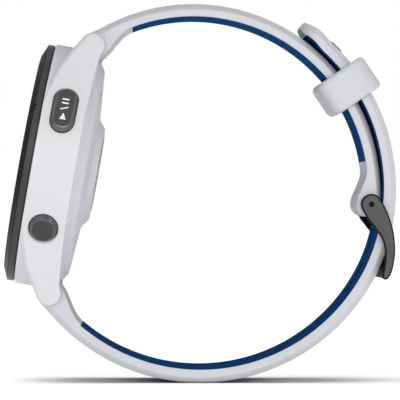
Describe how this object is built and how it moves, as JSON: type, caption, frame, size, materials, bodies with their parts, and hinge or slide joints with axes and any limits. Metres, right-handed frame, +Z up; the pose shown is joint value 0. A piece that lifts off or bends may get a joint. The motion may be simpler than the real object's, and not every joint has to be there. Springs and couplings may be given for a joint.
{
  "type": "gps running watch",
  "caption": "Round sports watch with side buttons and a two-tone silicone band, buckled in a closed loop with a keeper.",
  "frame": {"origin": "centre of the footprint, on the ground that the closed band stands on", "axes": "+Z up, +X from the dial towards the buckle, -Y towards the side with two buttons (three o'clock)"},
  "size_m": [0.0742, 0.047, 0.0713],
  "materials": {
    "white_polymer": "satin moulded polymer, cool white",
    "white_silicone": "matte silicone, cool white",
    "navy_silicone": "matte silicone, navy blue",
    "dark_bezel": "satin, near black",
    "dark_key": "satin anodised, dark grey",
    "dark_steel": "dark coated, satin",
    "bright_steel": "plain, satin",
    "cover_glass": "polished",
    "display": "black, unlit",
    "black_plastic": "moulded",
    "circuit_board": "solder mask",
    "battery_foil": "foil pouch",
    "gold": "gold plated",
    "seal_rubber": "matte"
  },
  "bodies": {
    "case": {"mid_case": "white_polymer", "rear_cover": "white_polymer", "bezel_ring": "dark_bezel", "vibration_motor": "bright_steel", "rear_screw_1": "bright_steel", "rear_screw_2": "bright_steel", "rear_screw_3": "bright_steel", "rear_screw_4": "bright_steel", "lens": "cover_glass", "sensor_window": "cover_glass", "display_panel": "display", "display_tray": "black_plastic", "start_button_switch": "black_plastic", "back_button_switch": "black_plastic", "light_button_switch": "black_plastic", "up_button_switch": "black_plastic", "down_button_switch": "black_plastic", "main_board": "circuit_board", "sensor_board": "circuit_board", "battery": "battery_foil", "gps_antenna": "gold", "beeper_disc": "gold", "charge_contact_1": "gold", "charge_contact_2": "gold", "charge_contact_3": "gold", "charge_contact_4": "gold", "case_gasket": "seal_rubber", "start_button_seal": "seal_rubber", "back_button_seal": "seal_rubber", "light_button_seal": "seal_rubber", "up_button_seal": "seal_rubber", "down_button_seal": "seal_rubber"},
    "start_key": {"start_button": "dark_key"},
    "back_key": {"back_button": "dark_key"},
    "light_key": {"light_button": "dark_key"},
    "up_key": {"up_button": "dark_key"},
    "down_key": {"down_button": "dark_key"},
    "band": {"short_strap": "white_silicone", "long_strap": "white_silicone", "short_strap_liner": "navy_silicone", "long_strap_liner": "navy_silicone", "strap_tag": "black_plastic", "spring_bar_upper": "bright_steel", "spring_bar_lower": "bright_steel", "buckle_pin": "dark_steel"},
    "upper_release": {"quick_release_upper": "bright_steel"},
    "lower_release": {"quick_release_lower": "bright_steel"},
    "buckle": {"buckle_frame": "dark_steel"},
    "tang": {"buckle_tang": "dark_steel"},
    "keeper": {"keeper_loop": "white_silicone"}
  },
  "joints": [
    {"name": "band_swing", "type": "hinge", "parent": "case", "child": "band", "pos_m": [-0.02001, 0, 0.06339], "axis": [0, -1, 0], "range_deg": [0, 40]},
    {"name": "start_press", "type": "slide", "parent": "case", "child": "start_key", "axis": [-0.0799, 0.8902, -0.4485], "range_m": [0, 0.0005], "stiffness_N_per_m": 1500, "springref_m": -0.0004},
    {"name": "back_press", "type": "slide", "parent": "case", "child": "back_key", "axis": [0.0885, 0.8634, 0.4967], "range_m": [0, 0.0005], "stiffness_N_per_m": 1500, "springref_m": -0.0004},
    {"name": "light_press", "type": "slide", "parent": "case", "child": "light_key", "axis": [-0.0877, -0.866, -0.4923], "range_m": [0, 0.0005], "stiffness_N_per_m": 1500, "springref_m": -0.0004},
    {"name": "up_press", "type": "slide", "parent": "case", "child": "up_key", "axis": [0, -1, 0], "range_m": [0, 0.0005], "stiffness_N_per_m": 1500, "springref_m": -0.0004},
    {"name": "down_press", "type": "slide", "parent": "case", "child": "down_key", "axis": [0.0877, -0.866, 0.4923], "range_m": [0, 0.0005], "stiffness_N_per_m": 1500, "springref_m": -0.0004},
    {"name": "upper_latch", "type": "slide", "parent": "band", "child": "upper_release", "axis": [0, -1, 0], "range_m": [0, 0.0012], "stiffness_N_per_m": 600, "springref_m": -0.001},
    {"name": "lower_latch", "type": "slide", "parent": "band", "child": "lower_release", "axis": [0, -1, 0], "range_m": [-0.0012, 0]},
    {"name": "buckle_pivot", "type": "hinge", "parent": "band", "child": "buckle", "pos_m": [0.03228, 0, 0.0336], "axis": [0, -1, 0], "range_deg": [0, 3]},
    {"name": "tang_pivot", "type": "hinge", "parent": "buckle", "child": "tang", "pos_m": [0.03228, 0, 0.0336], "axis": [0, -1, 0], "range_deg": [0, 2]},
    {"name": "keeper_slide", "type": "hinge", "parent": "band", "child": "keeper", "pos_m": [-0.00109, 0, 0.03609], "axis": [0, -1, 0], "range_deg": [-12, 3]}
  ]
}
